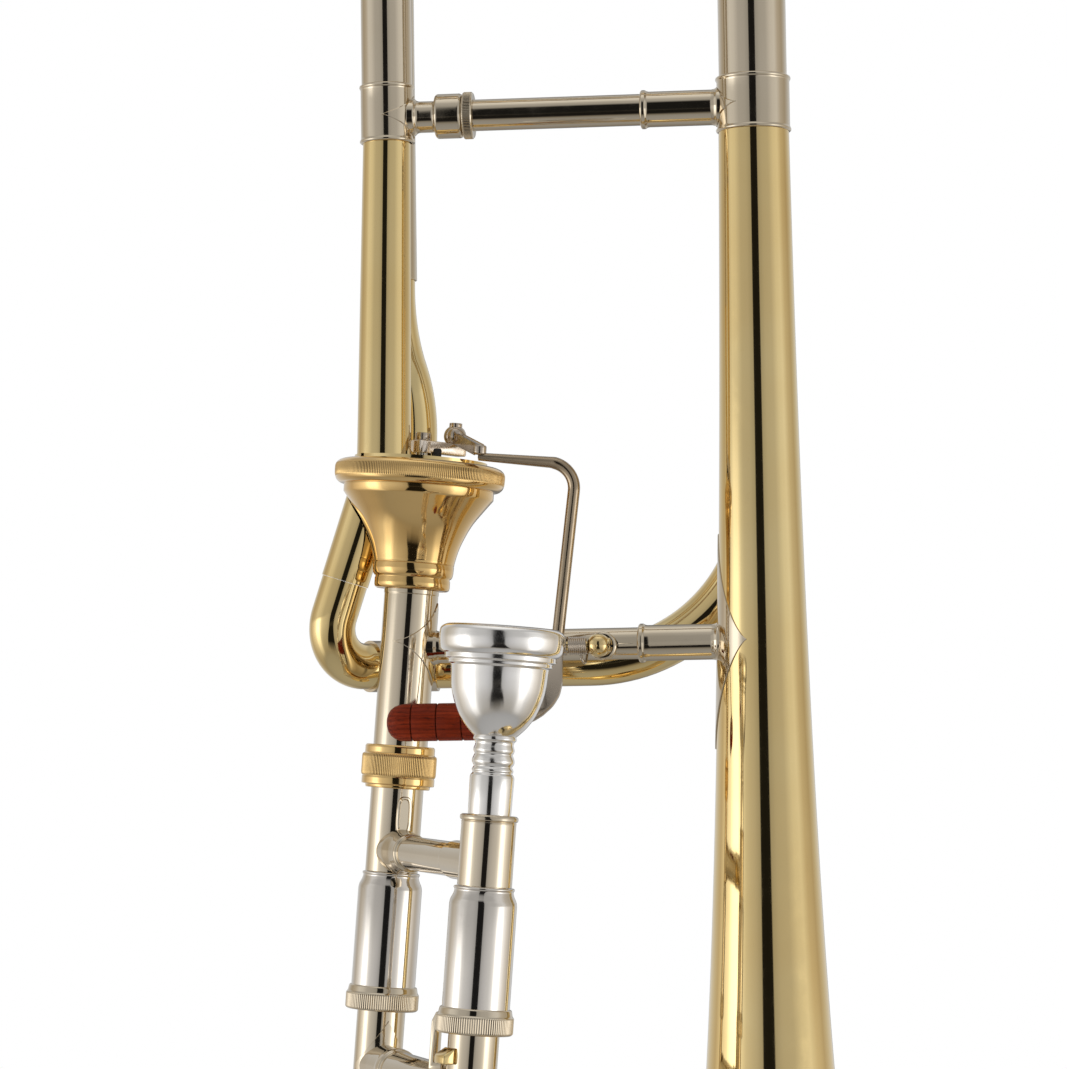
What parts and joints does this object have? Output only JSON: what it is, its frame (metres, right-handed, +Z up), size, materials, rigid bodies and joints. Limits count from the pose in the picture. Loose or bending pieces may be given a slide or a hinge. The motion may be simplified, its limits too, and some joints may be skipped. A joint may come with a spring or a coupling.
{
  "type": "tenor trombone",
  "caption": "Tenor trombone with an F attachment, axial-flow valve, thumb lever, tuning slides and a long handslide with lock.",
  "frame": {"origin": "centre of the bell's mouth, on the rim plane", "axes": "+Z up the bell towards the tuning slide, +X from the neck side to the bell side, -Y towards the mouthpiece"},
  "size_m": [0.3009, 0.2158, 1.1816],
  "materials": {
    "yellow_brass": "lacquered, polished",
    "nickel_silver": "lacquered nickel silver, polished",
    "silver_plate": "silver plate, polished",
    "steel": "satin",
    "rotor_alloy": "machined",
    "rosewood": "oiled",
    "felt_black": "felt",
    "rubber_black": "matte",
    "natural_cork": "matte"
  },
  "bodies": {
    "bell_section": {"bell_flare": "yellow_brass", "gooseneck": "yellow_brass", "valve_rim_ring": "yellow_brass", "valve_back_plate": "yellow_brass", "valve_casing": "yellow_brass", "valve_outlet_collar": "yellow_brass", "hinge_screw": "yellow_brass", "f_knuckle": "yellow_brass", "f_lower_elbow": "yellow_brass", "f_lower_run": "yellow_brass", "f_port_bend": "yellow_brass", "leg_ferrules": "nickel_silver", "slide_sleeves": "nickel_silver", "upper_brace_socket": "nickel_silver", "upper_brace_tube": "nickel_silver", "lower_brace_tube": "nickel_silver", "brace_sleeves": "nickel_silver", "brace_flanges": "nickel_silver", "f_elbow_sleeve": "nickel_silver", "neckpipe": "nickel_silver", "slide_tenon": "nickel_silver", "cork_barrels": "nickel_silver", "barrel_knurled_ring": "nickel_silver", "inner_slide_tubes": "nickel_silver", "mouthpiece_receiver": "nickel_silver", "grip_brace": "nickel_silver", "hinge_posts": "nickel_silver", "bell_rim_wire": "steel", "lever_spring": "steel", "barrel_felts": "felt_black", "stop_bumpers": "rubber_black"},
    "rotor": {"valve_rotor": "rotor_alloy", "stop_arm": "steel", "arm_screws": "steel"},
    "link_bar": {"link": "steel"},
    "lever": {"lever_rod": "steel", "lever_strap": "steel", "thumb_grip": "rosewood"},
    "brace_nut": {"upper_brace_nut": "nickel_silver"},
    "lock_nut": {"lock_nut": "yellow_brass"},
    "slide_lock": {"slide_lock_ring": "nickel_silver"},
    "main_tuning_slide": {"main_slide_legs": "nickel_silver", "main_slide_bow": "yellow_brass", "main_slide_ferrules": "nickel_silver", "main_slide_brace": "nickel_silver"},
    "f_tuning_slide": {"f_slide_legs": "nickel_silver", "f_slide_bow": "yellow_brass", "f_slide_ferrules": "nickel_silver", "f_slide_brace": "nickel_silver"},
    "outer_slide": {"outer_slide_tubes": "nickel_silver", "outer_brace": "nickel_silver", "slide_bow": "nickel_silver", "slide_bow_ferrules": "nickel_silver", "slide_bumper": "rubber_black", "lock_catch": "yellow_brass", "water_key_nipple": "nickel_silver", "water_key_post": "nickel_silver"},
    "water_key": {"water_key_lever": "nickel_silver", "water_key_cork": "natural_cork"},
    "mouthpiece": {"mouthpiece": "silver_plate"}
  },
  "joints": [
    {"name": "thumb_lever_hinge", "type": "hinge", "parent": "bell_section", "child": "lever", "pos_m": [-0.0693, -0.009, 0.3848], "axis": [1, 0, 0], "range_deg": [0, 11.3], "stiffness_Nm_per_rad": 0.35, "springref_deg": -14.32},
    {"name": "valve_rotor_turn", "type": "hinge", "parent": "bell_section", "child": "rotor", "pos_m": [-0.1126, 0.007, 0.448], "axis": [0.0845, 0, 0.9964], "range_deg": [-60, 0]},
    {"name": "link_turn", "type": "hinge", "parent": "rotor", "child": "link_bar", "pos_m": [-0.10243, 0.0151, 0.45366], "axis": [0.0845, 0, 0.9964], "range_deg": [0, 56]},
    {"name": "brace_nut_turn", "type": "hinge", "parent": "bell_section", "child": "brace_nut", "pos_m": [-0.0947, 0, 0.5614], "axis": [1, 0, 0], "continuous": true},
    {"name": "lock_nut_turn", "type": "hinge", "parent": "bell_section", "child": "lock_nut", "pos_m": [-0.12114, 0.007, 0.34736], "axis": [0.0845, 0, 0.9964], "continuous": true},
    {"name": "slide_lock_turn", "type": "hinge", "parent": "bell_section", "child": "slide_lock", "pos_m": [-0.0868, -0.0714, 0.26717], "axis": [0.0845, 0, 0.9964], "range_deg": [0, 55]},
    {"name": "main_tuning_pull", "type": "slide", "parent": "bell_section", "child": "main_tuning_slide", "axis": [0, 0, 1], "range_m": [0, 0.05]},
    {"name": "f_tuning_pull", "type": "slide", "parent": "bell_section", "child": "f_tuning_slide", "axis": [0, 0, 1], "range_m": [0, 0.05]},
    {"name": "slide_positions", "type": "slide", "parent": "bell_section", "child": "outer_slide", "axis": [-0.0845, 0, -0.9964], "range_m": [0, 0.6]},
    {"name": "water_key_hinge", "type": "hinge", "parent": "outer_slide", "child": "water_key", "pos_m": [-0.16264, -0.06313, -0.42608], "axis": [-0.0882, 0.3205, 0.9431], "range_deg": [0, 12], "stiffness_Nm_per_rad": 0.03, "springref_deg": -22.92},
    {"name": "mouthpiece_draw", "type": "slide", "parent": "bell_section", "child": "mouthpiece", "axis": [0.0845, 0, 0.9964], "range_m": [0, 0.03]}
  ],
  "couplings": [
    {"joint": "valve_rotor_turn", "follows": "thumb_lever_hinge", "ratio": -5.3},
    {"joint": "link_turn", "follows": "thumb_lever_hinge", "ratio": 4.93}
  ]
}
